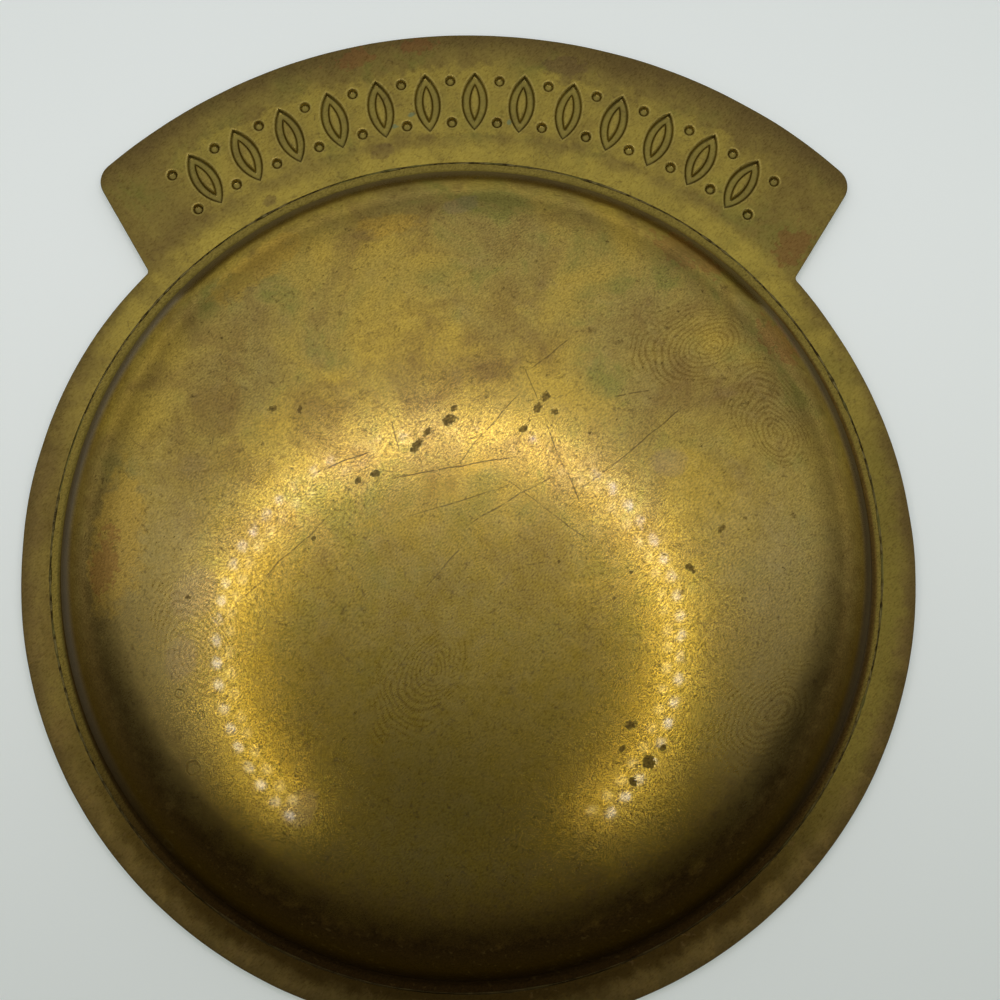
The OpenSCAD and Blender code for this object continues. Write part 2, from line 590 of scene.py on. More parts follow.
def new_group(name, inputs, outputs):
    """A node group with its sockets: each input is a name, a kind and a value to start from."""
    tree = bpy.data.node_groups.new(name, "ShaderNodeTree")
    for label, kind, value in inputs:
        socket = tree.interface.new_socket(label, in_out="INPUT", socket_type="NodeSocket" + kind)
        if value is not None:
            socket.default_value = value
    for label, kind in outputs:
        tree.interface.new_socket(label, in_out="OUTPUT", socket_type="NodeSocket" + kind)
    taken = tree.nodes.new("NodeGroupInput").outputs
    given = tree.nodes.new("NodeGroupOutput").inputs
    return tree, taken, given


def use(tree, group, inputs=None):
    made = put(tree, "Group", node_tree=group)
    for key, value in (inputs or {}).items():
        if isinstance(value, bpy.types.NodeSocket):
            tree.links.new(value, made.inputs[key])
        else:
            made.inputs[key].default_value = value
    return made.outputs


def place_group():
    """Places on the tray in millimetres from the bowl's axis. Here is (x, y, 1), for marks."""
    outputs = [("Place", "Vector"), ("Here", "Vector"), ("Y", "Float"), ("Height", "Float")]
    outputs += [("Radius", "Float"), ("Towards X", "Float"), ("Towards Y", "Float")]
    tree, taken, given = new_group("Tray place", [], outputs)
    coordinates = put(tree, "TexCoord").outputs["Object"]
    place = scaled(tree, vcalc(tree, "SUBTRACT", coordinates, tuple(AXIS)), 1 / MM)
    x, y, z = put(tree, "SeparateXYZ", {0: place}).outputs
    here = put(tree, "CombineXYZ", {0: x, 1: y, 2: 1.0}).outputs[0]
    radius = calc(tree, "SQRT", calc(tree, "MULTIPLY_ADD", x, x, calc(tree, "MULTIPLY", y, y)))
    values = (place, here, y, z, radius, calc(tree, "DIVIDE", x, radius), calc(tree, "DIVIDE", y, radius))
    for (label, kind), value in zip(outputs, values):
        tree.links.new(value, given[label])
    return tree


def tarnish_group():
    """Broad tarnish and patches over fresh brass."""
    inputs = [("Place", "Vector", None), ("Fresh", "Color", None), ("Gold", "Color", None)]
    inputs += [("Brown", "Color", None), ("Green", "Color", None), ("Browning", "Float", 0.7)]
    tree, taken, given = new_group("Tarnish", inputs, [("Colour", "Color")])
    place = taken["Place"]
    broad = cloud(tree, place, 0.07, 2.0, 0.6, 0.5)
    patchy = cloud(tree, vcalc(tree, "ADD", place, (31, 7, 0)), 0.13, 4.0, 0.65, 0.4)
    colour = blend(tree, ramped(tree, broad, 0.38, 0.66), taken["Fresh"], taken["Gold"])
    brown = calc(tree, "MULTIPLY", ramped(tree, patchy, 0.46, 0.70), taken["Browning"])
    colour = blend(tree, brown, colour, taken["Brown"])
    green = calc(tree, "MULTIPLY", ramped(tree, patchy, 0.47, 0.36), ramped(tree, broad, 0.58, 0.44))
    colour = blend(tree, calc(tree, "MULTIPLY", green, 0.85), colour, taken["Green"])
    tree.links.new(colour, given["Colour"])
    return tree


def grain_group():
    """Fine fibrous grain of old rubbed sheet: its fibres lie mostly one way, with dark specks."""
    outputs = [("Fine", "Float"), ("Specks", "Float"), ("Height", "Float")]
    inputs = [("Place", "Vector", None), ("Size", "Float", 0.4)]
    tree, taken, given = new_group("Sheet grain", inputs, outputs)
    place = scaled(tree, taken["Place"], calc(tree, "DIVIDE", 1.0, taken["Size"]))
    lie = vcalc(tree, "MULTIPLY", turned(tree, place, math.radians(-42)), (0.55, 1.15, 1.0))
    fine = cloud(tree, lie, 1.0, 2.0, 0.6)
    coarse = cloud(tree, place, 0.42, 2.0, 0.6)
    tree.links.new(fine, given["Fine"])
    tree.links.new(ramped(tree, calc(tree, "MULTIPLY_ADD", coarse, 0.6, fine), 0.86, 1.02), given["Specks"])
    tree.links.new(calc(tree, "MULTIPLY_ADD", coarse, 0.3, fine), given["Height"])
    return tree


def hairline_group():
    """Fine scratches that run one way: thin, and broken where Breaks is low."""
    inputs = [("Place", "Vector", None), ("Breaks", "Float", 0.5), ("Turn", "Float", 0.0)]
    inputs += [("Cells", "Vector", (0.1, 0.4, 1.0)), ("Low", "Float", 0.55)]
    tree, taken, given = new_group("Hairlines", inputs, [("Mask", "Float")])
    cells = vcalc(tree, "MULTIPLY", turned(tree, taken["Place"], taken["Turn"]), taken["Cells"])
    edge = put(
        tree, "TexVoronoi", {"Vector": cells, "Scale": 1.0}, feature="DISTANCE_TO_EDGE", voronoi_dimensions="2D"
    ).outputs["Distance"]
    thin = ramped(tree, edge, 0.042, 0.008)
    high = calc(tree, "ADD", taken["Low"], 0.08)
    breaks = put(tree, "MapRange", {"Value": taken["Breaks"], "From Min": taken["Low"], "From Max": high})
    tree.links.new(calc(tree, "MULTIPLY", thin, breaks.outputs["Result"]), given["Mask"])
    return tree


# Each mark takes two rows, Along and Across. Their products with Here are how far a place lies
# along and across the mark, counted from its middle or its start.


def mark_rows(x, y, turn, long, wide):
    """The rows of a mark at x and y, in shares of its length and of its width."""
    cos, sin = math.cos(turn), math.sin(turn)
    along = Vector((cos, sin, -x * cos - y * sin)) / long
    across = Vector((-sin, cos, x * sin - y * cos)) / wide
    return {"Along": along, "Across": across}


MARK_INPUTS = [("Before", "Float", 0.0), ("Here", "Vector", None), ("Along", "Vector", None)]
MARK_INPUTS += [("Across", "Vector", None), ("Noise", "Float", 0.0)]


def stain_group():
    """An oval stain made ragged by Noise, laid over Before: full, or only its rim."""
    inputs = MARK_INPUTS + [("Ragged", "Float", 1.2)]
    tree, taken, given = new_group("Stain", inputs, [("Mask", "Float"), ("Ring", "Float")])
    along = vcalc(tree, "DOT_PRODUCT", taken["Here"], taken["Along"])
    across = vcalc(tree, "DOT_PRODUCT", taken["Here"], taken["Across"])
    reach = calc(tree, "MULTIPLY_ADD", along, along, calc(tree, "MULTIPLY", across, across))
    edge = calc(tree, "MULTIPLY_ADD", taken["Noise"], taken["Ragged"], reach)
    mask = clamped(tree, "MULTIPLY_ADD", edge, -1.8, 2.0)
    tree.links.new(calc(tree, "MAXIMUM", taken["Before"], mask), given["Mask"])
    off = calc(tree, "ABSOLUTE", calc(tree, "SUBTRACT", edge, 0.75))
    ring = clamped(tree, "MULTIPLY_ADD", off, -3.5, 1.2)
    tree.links.new(calc(tree, "MAXIMUM", taken["Before"], ring), given["Ring"])
    return tree


def scratch_group():
    """One scratch from its start to its end, that wanders with Noise, laid over Before."""
    tree, taken, given = new_group("Scratch", MARK_INPUTS, [("Mask", "Float")])
    share = vcalc(tree, "DOT_PRODUCT", taken["Here"], taken["Along"])
    across = vcalc(tree, "DOT_PRODUCT", taken["Here"], taken["Across"])
    ends = calc(tree, "MULTIPLY", share, calc(tree, "SUBTRACT", 1.0, share))
    off = calc(tree, "ABSOLUTE", calc(tree, "MULTIPLY_ADD", taken["Noise"], 13.0, across))
    line = clamped(tree, "SUBTRACT", 1.4, off)
    line = calc(tree, "MULTIPLY", line, clamped(tree, "MULTIPLY", ends, 9.0))
    tree.links.new(calc(tree, "MAXIMUM", taken["Before"], line), given["Mask"])
    return tree


def finger_group():
    """The mark of a finger tip: curved ridges inside a ragged oval, laid over those Before."""
    inputs = MARK_INPUTS + [("Oval Before", "Float", 0.0), ("Size", "Float", 5.0), ("Bend", "Float", 0.0)]
    tree, taken, given = new_group("Finger mark", inputs, [("Ridges", "Float"), ("Oval", "Float")])
    along = vcalc(tree, "DOT_PRODUCT", taken["Here"], taken["Along"])
    across = vcalc(tree, "DOT_PRODUCT", taken["Here"], taken["Across"])
    side = calc(tree, "MULTIPLY", across, 0.62)
    core = calc(tree, "ADD", side, 1.5)
    far = calc(tree, "ADD", along, 0.8)
    core = calc(tree, "SQRT", calc(tree, "MULTIPLY_ADD", far, far, calc(tree, "MULTIPLY", core, core)))
    bent = calc(tree, "MULTIPLY", calc(tree, "MULTIPLY_ADD", taken["Bend"], 2.4, core), math.tau / 0.5)
    wave = clamped(tree, "MULTIPLY_ADD", calc(tree, "SINE", bent), 0.9, 0.2)
    reach = calc(tree, "MULTIPLY_ADD", along, along, calc(tree, "MULTIPLY", side, side))
    size = calc(tree, "MULTIPLY", taken["Size"], taken["Size"])
    edge = calc(tree, "MULTIPLY_ADD", taken["Noise"], 3.0, calc(tree, "DIVIDE", reach, size))
    mask = clamped(tree, "MULTIPLY_ADD", edge, -2.0, 1.8)
    ridges = calc(tree, "MULTIPLY", wave, mask)
    tree.links.new(calc(tree, "MAXIMUM", taken["Before"], ridges), given["Ridges"])
    tree.links.new(calc(tree, "MAXIMUM", taken["Oval Before"], mask), given["Oval"])
    return tree


# Marks on the tray, in mm from the bowl's axis: x, y, size, and for some a stretch and a turn
PITS = (
    (-6.2, 12.6, 0.50, 2.1, 0.9), (-5.0, 14.1, 0.36, 1.9, 0.9), (-2.5, 15.6, 0.62, 1.4, 0.6),
    (-1.9, 17.1, 0.34, 1.3, 0.8), (6.3, 14.7, 0.42, 1.5, 0.5), (7.9, 17.2, 0.45, 1.8, 1.0),
    (8.8, 18.6, 0.50, 1.5, 0.8), (9.9, 16.8, 0.42, 1.2, 0.8), (-23.2, 17.0, 0.40, 1.6, 0.3),
    (-20.0, 16.9, 0.30, 1.8, 1.4), (-12.9, 8.4, 0.40, 1.1, 0.5), (-10.9, 9.2, 0.40, 1.6, 0.3),
    (-17.9, 1.6, 0.26, 1.2, 0.9), (-32.4, -5.2, 0.28, 1.2, 0.0), (20.6, -23.5, 0.72, 1.2, 1.9),
    (18.8, -25.7, 0.42, 1.5, 2.0), (22.3, -21.9, 0.32, 1.3, 0.4), (18.6, -19.3, 0.45, 1.7, 0.3),
    (17.6, -22.0, 0.30, 1.5, 0.9), (25.6, -1.4, 0.45, 1.7, -0.8), (29.4, 3.2, 0.34, 1.9, 0.7),
    (18.7, -2.0, 0.24, 1.0, 0.0), (10.4, -0.9, 0.22, 1.0, 0.0),
)
RING_STAINS = ((-31.2, -24.5, 0.9), (-35.1, -33.9, 0.8), (-33.0, -16.2, 0.6), (-30.4, -18.6, 0.5))
SCRATCHES = (
    ((-18.4, 9.1), (-11.3, 12.0), 0.07), ((-9.7, 8.6), (6.5, 11.7), 0.08), ((-1.5, 10.2), (6.2, 19.4), 0.06),
    ((8.6, 15.7), (13.0, 5.5), 0.07), ((12.7, 7.3), (25.5, 17.9), 0.07), ((16.9, 18.7), (21.4, 19.7), 0.07),
    ((-7.3, 4.1), (5.3, 8.1), 0.06), ((-0.5, 3.0), (10.7, 9.7), 0.07), ((3.6, 9.0), (14.2, 1.3), 0.05),
    ((6.8, 21.9), (11.9, 25.8), 0.06), ((-9.3, 15.5), (-8.2, 11.9), 0.06), ((6.5, 22.2), (8.0, 17.5), 0.05),
    ((-26.8, -6.2), (-15.6, 5.0), 0.06), ((-5.0, -3.9), (-0.6, 0.9), 0.05),
)
FINGER_MARKS = (
    (-31.4, -9.2, 5.5, 0.4), (26.2, 25.4, 5.5, 1.9), (35.7, 17.6, 5.0, 0.5), (33.1, -18.8, 5.5, 2.2),
    (-6.0, -15.0, 5.0, 2.6),
)
BOWL_COPPER = ((26.2, 37.8, 2.6, 1.7, -0.5), (37.5, 27.2, 2.2, 1.5, -1.0), (-42.6, -1.0, 1.8, 2.2, 1.5))
BOWL_VIOLET = (
    (-31.6, -4.6, 2.6, 1.3, 1.2), (-33.0, -12.0, 2.0, 1.4, 1.4), (23.4, 11.0, 1.8, 1.3, 0.2),
    (-18.8, -28.7, 2.0, 1.3, 0.9), (-1.4, 43.0, 1.3, 2.0, 0.3),
)
BOWL_ORANGE = ((-10.2, 40.3, 1.6, 2.6, 0.1), (-26.0, 35.2, 2.4, 2.8, 0.7), (-41.2, 1.5, 3.6, 2.6, 1.5))
TAB_COPPER = ((41.4, 41.2, 2.4, 1.4, 1.0), (-16.6, 66.7, 1.3, 2.2, 0.3), (-7.7, 68.8, 1.0, 2.6, 0.1))
TAB_BROWN = ((-12.0, 53.9, 1.2, 1.3, 0.3), (-26.6, 47.0, 0.8, 1.2, 0.8), (12.0, 66.0, 1.6, 2.0, -0.1))
TAB_VERDIGRIS = ((-8.2, 59.2, 0.35, 1.8, 0.4), (-10.6, 57.4, 0.35, 1.8, 0.2), (4.6, 58.2, 0.3, 1.6, 1.3))


def stains(tree, groups, spot, marks, noise_value, ragged=1.2, output="Mask"):
    """Lays one stain after another."""
    laid = 0.0
    for mark in marks:
        x, y, size, stretch, turn = (mark + (1.0, 0.0))[:5]
        inputs = {"Before": laid, "Here": spot["Here"], "Noise": noise_value, "Ragged": ragged}
        inputs.update(mark_rows(x, y, turn, size * stretch, size))
        laid = use(tree, groups["stain"], inputs)[output]
    return laid


def hairlines(tree, groups, place, breaks, ways):
    """Fine scratches in several ways: the turn, pitch, length and Low of each."""
    laid = 0.0
    for turn, pitch, length, low in ways:
        inputs = {"Place": place, "Breaks": breaks, "Turn": turn, "Low": low}
        inputs["Cells"] = (1 / length, 1 / pitch, 1.0)
        laid = calc(tree, "MAXIMUM", laid, use(tree, groups["hairlines"], inputs)["Mask"])
    return laid


def new_material(name):
    material = bpy.data.materials.new(name)
    material.use_nodes = True
    tree = material.node_tree
    tree.nodes.clear()
    shader = put(tree, "BsdfPrincipled")
    put(tree, "OutputMaterial", {"Surface": shader.outputs[0]})
    return material, tree, shader


def rgb(r, g, b):
    return (r, g, b, 1.0)


def bowl_brass(groups):
    """The bowl's brass: golden with wear on the crown, brown towards its foot with tarnish and painted shade, pitted
    and scratched.
    """
    material, tree, shader = new_material("bowl brass")
    spot = use(tree, groups["place"])
    place, radius = spot["Place"], spot["Radius"]
    small_noise = calc(tree, "SUBTRACT", cloud(tree, place, 1.3, 2.0, 0.6), 0.5)
    large_noise = calc(tree, "SUBTRACT", cloud(tree, place, 0.45, 3.0, 0.65), 0.5)
    bend = calc(tree, "SUBTRACT", cloud(tree, place, 0.2, 1.0), 0.5)

    inputs = {"Place": place, "Fresh": rgb(0.325, 0.245, 0.066), "Gold": rgb(0.45, 0.315, 0.056)}
    inputs.update({"Brown": rgb(0.22, 0.142, 0.042), "Green": rgb(0.24, 0.215, 0.050), "Browning": 0.92})
    colour = use(tree, groups["tarnish"], inputs)["Colour"]

    # Old lacquer gone amber on the half away from the tab
    lacquer = calc(tree, "MULTIPLY_ADD", large_noise, 14.0, spot["Y"])
    colour = blend(tree, step(tree, lacquer, -20, 26, 0.88, 0.0), colour, rgb(0.240, 0.170, 0.022))

    # Paler where hands have rubbed it, on the left and on the right
    side = calc(tree, "MULTIPLY", calc(tree, "ABSOLUTE", spot["Towards X"]), radius)
    side = calc(tree, "MULTIPLY", step(tree, side, 25.0, 35.0, 0.0, 0.42), ramped(tree, spot["Y"], 16.0, -2.0))
    colour = blend(tree, side, colour, rgb(0.40, 0.305, 0.115))

    # Brown tarnish and painted shade towards the foot, heaviest on the side away from the tab and to the left
    reach = calc(tree, "MULTIPLY_ADD", spot["Towards Y"], -5.2, radius)
    reach = calc(tree, "MULTIPLY_ADD", large_noise, 6.0, reach)
    colour = blend(tree, step(tree, reach, 38.5, 50.5, 0.0, 0.9), colour, rgb(0.10, 0.055, 0.012))
    # Painted shade: the wall's foot is painted nearly black, most on the side away from the tab
    foot = calc(tree, "MULTIPLY_ADD", large_noise, 4.0, radius)
    away = step(tree, spot["Towards Y"], 0.3, -0.95, 0.06, 1.0)
    foot = calc(tree, "MULTIPLY", step(tree, foot, 41.8, 45.2), away)
    colour = blend(tree, foot, colour, rgb(0.027, 0.015, 0.004))
    # Dust and painted shade on the wall's foot, dull and dark, and a golden flange beyond it, on the side of the tab
    towards = step(tree, spot["Towards Y"], -0.75, -0.1)
    dust_and_shade = calc(tree, "MULTIPLY", step(tree, radius, 47.4, 49.2), step(tree, radius, 50.6, 50.1))
    dust_and_shade = calc(tree, "MULTIPLY", dust_and_shade, towards)
    colour = blend(tree, calc(tree, "MULTIPLY", dust_and_shade, 0.8), colour, rgb(0.105, 0.080, 0.042))
    flange = calc(tree, "MULTIPLY", step(tree, radius, 50.9, 51.3, 0.0, 0.8), towards)
    colour = blend(tree, flange, colour, rgb(0.21, 0.165, 0.034))

    orange = stains(tree, groups, spot, BOWL_ORANGE, large_noise, 3.0)
    colour = blend(tree, calc(tree, "MULTIPLY", orange, 0.50), colour, rgb(0.46, 0.29, 0.045))
    ragged = calc(tree, "MULTIPLY_ADD", small_noise, 0.8, large_noise)
    copper = stains(tree, groups, spot, BOWL_COPPER, ragged, 4.5)
    colour = blend(tree, calc(tree, "MULTIPLY", copper, 0.42), colour, rgb(0.22, 0.080, 0.028))
    violet = stains(tree, groups, spot, BOWL_VIOLET, large_noise, 2.6)
    colour = blend(tree, calc(tree, "MULTIPLY", violet, 0.16), colour, rgb(0.22, 0.16, 0.17))

    grain = use(tree, groups["grain"], {"Place": place, "Size": 0.17})
    colour = scaled(tree, colour, ramped(tree, grain["Fine"], 0.3, 0.7, 1.30, 0.72))
    colour = blend(tree, calc(tree, "MULTIPLY", grain["Specks"], 0.24), colour, rgb(0.58, 0.48, 0.34), "MULTIPLY")

    ridges, oval = 0.0, 0.0
    for x, y, size, turn in FINGER_MARKS:
        inputs = {"Before": ridges, "Oval Before": oval, "Here": spot["Here"], "Size": size}
        inputs.update({"Noise": large_noise, "Bend": bend, **mark_rows(x, y, turn, 1, 1)})
        mark = use(tree, groups["finger"], inputs)
        ridges, oval = mark["Ridges"], mark["Oval"]
    colour = blend(tree, calc(tree, "MULTIPLY", ridges, 0.42), colour, rgb(0.46, 0.38, 0.27), "MULTIPLY")

    scratches = 0.0
    for start, end, width in SCRATCHES:
        run = Vector(end) - Vector(start)
        rows = mark_rows(*start, math.atan2(run.y, run.x), run.length, width)
        inputs = {"Before": scratches, "Here": spot["Here"], "Noise": bend, **rows}
        scratches = use(tree, groups["scratch"], inputs)["Mask"]
    scratches = calc(tree, "MULTIPLY", scratches, ramped(tree, small_noise, -0.16, -0.02, 0.25, 1.3))
    wander = put(tree, "CombineXYZ", {0: large_noise, 1: bend}).outputs[0]
    strayed = put(tree, "VectorMath", {0: wander, 1: (1.2, 7.0, 0), 2: place}, operation="MULTIPLY_ADD").outputs[0]
    ways = ((0.35, 1.9, 12.0, 0.07), (-0.5, 2.4, 12.0, 0.08), (0.9, 2.2, 14.0, 0.07), (2.3, 2.6, 12.0, 0.09))
    fine = hairlines(tree, groups, strayed, small_noise, ways)
    lines = calc(tree, "MAXIMUM", scratches, calc(tree, "MULTIPLY", fine, 0.80))
    colour = blend(tree, clamped(tree, "MULTIPLY", lines, 0.62), colour, rgb(0.085, 0.055, 0.016))

    pit_noise = calc(tree, "SUBTRACT", cloud(tree, place, 3.6, 2.0, 0.65), 0.5)
    pits = stains(tree, groups, spot, PITS, pit_noise, 3.6)
    rings = stains(tree, groups, spot, RING_STAINS, small_noise, 1.4, "Ring")
    dark = calc(tree, "MAXIMUM", pits, calc(tree, "MULTIPLY", rings, 0.85))
    # Loose specks, thickest to the left and below
    speckled = calc(tree, "MULTIPLY_ADD", bend, 0.25, small_noise)
    speckled = calc(tree, "MULTIPLY", ramped(tree, speckled, 0.19, 0.24), ramped(tree, grain["Fine"], 0.5, 0.62))
    dark = calc(tree, "MAXIMUM", dark, calc(tree, "MULTIPLY", speckled, 0.75))
    filled = ramped(tree, grain["Fine"], 0.35, 0.65, 0.55, 0.88)
    colour = blend(tree, calc(tree, "MULTIPLY", dark, filled), colour, rgb(0.058, 0.040, 0.014))
    tree.links.new(colour, shader.inputs["Base Color"])

    rough = ramped(tree, grain["Fine"], 0.3, 0.7, 0.19, 0.27)
    rough = calc(tree, "MULTIPLY_ADD", oval, 0.03, rough)
    rough = calc(tree, "MULTIPLY_ADD", dark, 0.25, rough)
    rough = calc(tree, "MULTIPLY_ADD", ramped(tree, radius, 48.0, 50.6), 0.18, rough)
    rough = calc(tree, "MULTIPLY_ADD", foot, 0.2, rough)
    tree.links.new(rough, shader.inputs["Roughness"])
    shader.inputs["Specular Tint"].default_value = rgb(0.56, 0.52, 0.46)
    tree.links.new(ramped(tree, dust_and_shade, 0.0, 1.0, 1.0, 0.6), shader.inputs["Metallic"])

    # Remains of the lacquer, which show the lamps as small sharp dots
    remains = calc(tree, "MULTIPLY_ADD", large_noise, 1.3, ramped(tree, spot["Y"], 2.0, 15.0, 0.33, -0.04))
    remains = calc(tree, "SUBTRACT", remains, calc(tree, "MULTIPLY_ADD", grain["Specks"], 0.5, dark))
    remains = calc(tree, "MULTIPLY", clamped(tree, "ADD", remains, 0.0), ramped(tree, radius, 44.0, 36.0))
    tree.links.new(remains, shader.inputs["Coat Weight"])
    shader.inputs["Coat Roughness"].default_value = 0.05

    height = calc(tree, "MULTIPLY_ADD", pits, -1.6, grain["Height"])
    bump = put(tree, "Bump", {"Height": height, "Strength": 1.0, "Distance": 0.0020 * MM})
    tree.links.new(bump.outputs[0], shader.inputs["Normal"])
    return material


def collar_brass(groups):
    """The collar's brass: yellow-green by the bowl, brown towards its cut edge, dirt and painted highlights in the
    row, painted shade on the rounded edge and on the half towards -Y.
    """
    material, tree, shader = new_material("collar brass")
    spot = use(tree, groups["place"])
    place, radius, height_mm = spot["Place"], spot["Radius"], spot["Height"]
    small_noise = calc(tree, "SUBTRACT", cloud(tree, place, 1.3, 2.0, 0.6), 0.5)
    large_noise = calc(tree, "SUBTRACT", cloud(tree, place, 0.45, 3.0, 0.65), 0.5)

    inputs = {"Place": place, "Fresh": rgb(0.205, 0.152, 0.038), "Gold": rgb(0.25, 0.188, 0.044)}
    inputs.update({"Brown": rgb(0.145, 0.095, 0.029), "Green": rgb(0.185, 0.162, 0.036), "Browning": 0.75})
    colour = use(tree, groups["tarnish"], inputs)["Colour"]

    # Brown film along the cut edge of the rim and of the tab. Painted shade on the half towards -Y, darkest by the
    # bowl there and lighter at the sides
    on_tab = ramped(tree, spot["Towards Y"], 0.66, 0.69)
    edge_r = ramped(tree, on_tab, 0.0, 1.0, RIM_R / MM, TAB_R / MM)
    inside = calc(tree, "SUBTRACT", edge_r, radius)
    inside = calc(tree, "MULTIPLY_ADD", large_noise, -4.0, inside)
    colour = blend(tree, step(tree, inside, 0.0, 4.2, 0.85, 0.0), colour, rgb(0.126, 0.086, 0.028))
    by_bowl = calc(tree, "MULTIPLY_ADD", large_noise, 3.0, radius)
    # Painted shade: the half towards -Y is painted darker brown
    below = step(tree, spot["Towards Y"], -0.85, -0.05, 1.0, 0.0)
    colour = blend(tree, calc(tree, "MULTIPLY", below, 0.65), colour, rgb(0.10, 0.069, 0.021))
    # Painted shade by the groove: nearly black on the half towards -Y, lighter at the sides
    beside = step(tree, spot["Towards Y"], 0.1, 0.5, 0.30, 0.0)
    painted_groove_shade = calc(tree, "MULTIPLY", step(tree, by_bowl, 52.5, 55.0, 0.95, 0.0), calc(tree, "MAXIMUM", below, beside))
    colour = blend(tree, painted_groove_shade, colour, rgb(0.038, 0.023, 0.005))
    green = calc(tree, "MULTIPLY", step(tree, by_bowl, 53.0, 55.6, 1.0, 0.0), step(tree, spot["Towards Y"], -0.8, -0.35))
    green = calc(tree, "MULTIPLY", green, ramped(tree, spot["Towards X"], -1.0, 1.0, 0.05, 0.50))
    colour = blend(tree, green, colour, rgb(0.215, 0.178, 0.030))

    # Golden and yellow-green film by the solder on the tab's side, and round the pressed row
    film = calc(tree, "MULTIPLY", step(tree, by_bowl, 54.0, 57.0, 1.0, 0.0), ramped(tree, spot["Towards Y"], 0.2, 0.7))
    row = calc(tree, "ABSOLUTE", calc(tree, "SUBTRACT", radius, ROW_R / MM))
    row = calc(tree, "MULTIPLY_ADD", large_noise, 7.0, row)
    row = calc(tree, "MULTIPLY", step(tree, row, 3.4, 5.6, 0.7, 0.0), ramped(tree, spot["Towards Y"], 0.76, 0.84))
    film = calc(tree, "MAXIMUM", film, row)
    patches = ramped(tree, cloud(tree, place, 0.19, 3.0, 0.65), 0.36, 0.58, 0.35, 1.0)
    colour = blend(tree, calc(tree, "MULTIPLY", film, patches), colour, rgb(0.37, 0.285, 0.052))

    ragged = calc(tree, "MULTIPLY_ADD", small_noise, 0.8, large_noise)
    copper = stains(tree, groups, spot, TAB_COPPER, ragged, 4.5)
    colour = blend(tree, calc(tree, "MULTIPLY", copper, 0.50), colour, rgb(0.19, 0.080, 0.028))
    browns = stains(tree, groups, spot, TAB_BROWN, small_noise, 3.0)
    colour = blend(tree, calc(tree, "MULTIPLY", browns, 0.42), colour, rgb(0.11, 0.066, 0.034))

    # The floors of the row are smoother and more olive, with grime at the foot of their walls and wear with a painted
    # highlight on their raised edges
    pressed = ramped(tree, height_mm, 1.3, 0.95)
    colour = blend(tree, calc(tree, "MULTIPLY", pressed, 0.55), colour, rgb(0.185, 0.150, 0.040))
    dirt_wear_and_painted_light = put(tree, "Attribute", attribute_name="dirt_wear_and_painted_light").outputs["Fac"]
    # Painted highlight: the raised edges are painted bright gold, partly wear and partly the highlight they catch
    wear_and_highlight = clamped(tree, "MULTIPLY", dirt_wear_and_painted_light, -0.75)
    colour = blend(tree, wear_and_highlight, colour, rgb(0.42, 0.33, 0.085))
    dirt_wear_and_painted_light = calc(tree, "MULTIPLY", clamped(tree, "ADD", dirt_wear_and_painted_light, 0.0), ramped(tree, large_noise, -0.1, 0.12, 0.1, 0.9))
    colour = blend(tree, calc(tree, "MULTIPLY", dirt_wear_and_painted_light, 0.45), colour, rgb(0.070, 0.052, 0.015))

    grain = use(tree, groups["grain"], {"Place": place, "Size": 0.22})
    colour = scaled(tree, colour, ramped(tree, grain["Fine"], 0.3, 0.7, 1.10, 0.90))
    specks = calc(tree, "MULTIPLY", grain["Specks"], ramped(tree, pressed, 0.0, 1.0, 0.34, 0.15))
    colour = blend(tree, specks, colour, rgb(0.60, 0.50, 0.38), "MULTIPLY")
    verdigris = stains(tree, groups, spot, TAB_VERDIGRIS, small_noise, 3.0)
    colour = blend(tree, calc(tree, "MULTIPLY", verdigris, 0.6), colour, rgb(0.13, 0.20, 0.12))
    wander = put(tree, "CombineXYZ", {0: large_noise, 1: large_noise}).outputs[0]
    strayed = put(tree, "VectorMath", {0: wander, 1: (1.2, 1.2, 0), 2: place}, operation="MULTIPLY_ADD").outputs[0]
    lines = hairlines(tree, groups, strayed, small_noise, ((0.2, 3.0, 9.0, 0.05), (1.4, 3.6, 10.0, 0.05)))
    colour = blend(tree, calc(tree, "MULTIPLY", lines, 0.4), colour, rgb(0.11, 0.07, 0.025))
    tree.links.new(colour, shader.inputs["Base Color"])

    rough = ramped(tree, grain["Fine"], 0.3, 0.7, 0.36, 0.50)
    rough = calc(tree, "MULTIPLY_ADD", pressed, -0.12, rough)
    rough = calc(tree, "MULTIPLY_ADD", dirt_wear_and_painted_light, 0.1, rough)
    tree.links.new(rough, shader.inputs["Roughness"])
    shader.inputs["Metallic"].default_value = 1.0

    bump = put(tree, "Bump", {"Height": grain["Height"], "Strength": 1.0, "Distance": 0.005 * MM})
    tree.links.new(bump.outputs[0], shader.inputs["Normal"])
    return material


def old_solder(groups):
    """Dull solder gone yellow-green, with dark spots of old flux."""
    material, tree, shader = new_material("old solder")
    spot = use(tree, groups["place"])
    place = spot["Place"]
    spots = ramped(tree, cloud(tree, place, 0.9, 3.0, 0.6), 0.45, 0.6)
    colour = blend(tree, spots, rgb(0.16, 0.13, 0.045), rgb(0.050, 0.036, 0.012))
    stain = ramped(tree, cloud(tree, place, 0.25, 2.0), 0.5, 0.65)
    colour = blend(tree, stain, colour, rgb(0.14, 0.13, 0.035))
    # Painted shade: the solder is painted nearly black on the half towards -Y
    colour = blend(tree, step(tree, spot["Towards Y"], -0.2, -0.8, 0.0, 0.9), colour, rgb(0.035, 0.024, 0.008))
    tree.links.new(colour, shader.inputs["Base Color"])
    tree.links.new(ramped(tree, spots, 0.0, 1.0, 0.5, 0.65), shader.inputs["Roughness"])
    shader.inputs["Metallic"].default_value = 1.0
    grain = use(tree, groups["grain"], {"Place": place, "Size": 0.3})
    bump = put(tree, "Bump", {"Height": grain["Height"], "Strength": 1.0, "Distance": 0.015 * MM})
    tree.links.new(bump.outputs[0], shader.inputs["Normal"])
    return material


# The table, the light and the camera


